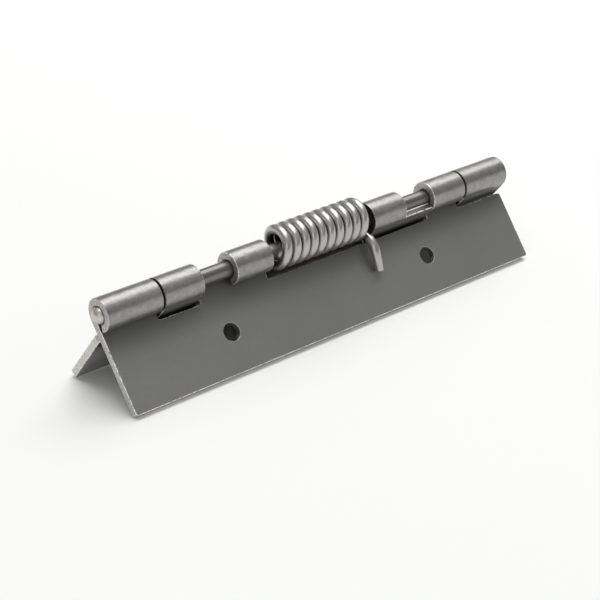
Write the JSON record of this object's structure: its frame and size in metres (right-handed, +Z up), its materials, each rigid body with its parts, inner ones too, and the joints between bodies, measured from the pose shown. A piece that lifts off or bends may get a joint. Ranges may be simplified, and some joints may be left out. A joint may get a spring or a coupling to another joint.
{
  "type": "spring loaded door hinge",
  "caption": "Steel butt hinge with rolled knuckles on a plain pin and an exposed torsion spring that swings the leaves together.",
  "frame": {"origin": "on the floor under the middle of the hinge, which stands on the free edges of its two leaves", "axes": "+X along the hinge pin, +Y towards the rear leaf's free edge, +Z up"},
  "size_m": [0.1536, 0.031, 0.0325],
  "materials": {
    "sheet_steel": "bare cold-rolled steel, satin",
    "pin_steel": "bare drawn steel, satin",
    "spring_steel": "drawn spring wire, bright"
  },
  "bodies": {
    "front": {"front_leaf": "sheet_steel", "hinge_pin": "pin_steel", "torsion_spring": "spring_steel"},
    "rear": {"rear_leaf": "sheet_steel"}
  },
  "joints": [
    {"name": "hinge_swing", "type": "hinge", "parent": "front", "child": "rear", "pos_m": [0, 0, 0.02487], "axis": [1, 0, 0], "range_deg": [0, 103], "stiffness_Nm_per_rad": 1.6, "springref_deg": -5.73, "deforming": ["torsion_spring"]}
  ]
}
